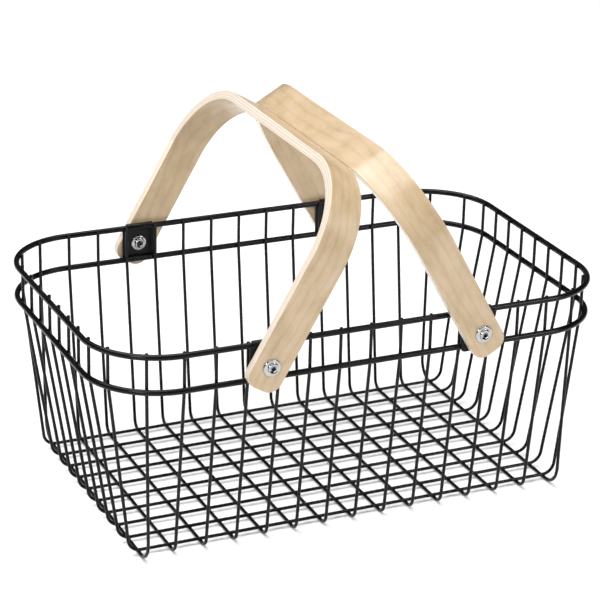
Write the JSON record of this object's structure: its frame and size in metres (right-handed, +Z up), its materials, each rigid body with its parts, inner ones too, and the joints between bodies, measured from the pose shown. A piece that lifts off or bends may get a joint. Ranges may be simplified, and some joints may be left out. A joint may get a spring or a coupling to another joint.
{
  "type": "wire produce basket",
  "caption": "Black welded wire basket with rounded rectangular rim and two bentwood carrying handles that swing on pivot bolts, for produce and kitchen storage.",
  "frame": {"origin": "floor point under the middle of the basket", "axes": "+Z up, +X along the long side, +Y across; the front wall faces -Y"},
  "size_m": [0.457, 0.317, 0.3192],
  "materials": {
    "wire_black": "satin black powder coat",
    "bracket_black": "satin black powder coat",
    "washer_steel": "plain zinc",
    "fastener_chrome": "polished nickel chrome",
    "bentwood": "clear lacquered birch plywood"
  },
  "bodies": {
    "basket": {"upper_rim_ring": "wire_black", "lower_rim_ring": "wire_black", "cross_wire_01": "wire_black", "cross_wire_02": "wire_black", "cross_wire_03": "wire_black", "cross_wire_04": "wire_black", "cross_wire_05": "wire_black", "cross_wire_06": "wire_black", "cross_wire_07": "wire_black", "cross_wire_08": "wire_black", "cross_wire_09": "wire_black", "cross_wire_10": "wire_black", "cross_wire_11": "wire_black", "cross_wire_12": "wire_black", "cross_wire_13": "wire_black", "cross_wire_14": "wire_black", "cross_wire_15": "wire_black", "long_wire_01": "wire_black", "long_wire_02": "wire_black", "long_wire_03": "wire_black", "long_wire_04": "wire_black", "long_wire_05": "wire_black", "long_wire_06": "wire_black", "long_wire_07": "wire_black", "long_wire_08": "wire_black", "long_wire_09": "wire_black", "long_wire_10": "wire_black", "bracket_front_left": "bracket_black", "bracket_front_right": "bracket_black", "bracket_back_left": "bracket_black", "bracket_back_right": "bracket_black", "washer_front_left": "washer_steel", "washer_front_right": "washer_steel", "washer_back_left": "washer_steel", "washer_back_right": "washer_steel", "bolt_front_left": "fastener_chrome", "bolt_front_right": "fastener_chrome", "bolt_back_left": "fastener_chrome", "bolt_back_right": "fastener_chrome", "cap_nut_front_left": "fastener_chrome", "cap_nut_front_right": "fastener_chrome", "cap_nut_back_left": "fastener_chrome", "cap_nut_back_right": "fastener_chrome"},
    "left_handle_body": {"left_handle": "bentwood"},
    "right_handle_body": {"right_handle": "bentwood"}
  },
  "joints": [
    {"name": "left_handle_swing", "type": "hinge", "parent": "basket", "child": "left_handle_body", "pos_m": [-0.0945, 0, 0.17], "axis": [0, -1, 0], "range_deg": [0, 156]},
    {"name": "right_handle_swing", "type": "hinge", "parent": "basket", "child": "right_handle_body", "pos_m": [0.0945, 0, 0.17], "axis": [0, 1, 0], "range_deg": [0, 156]}
  ]
}
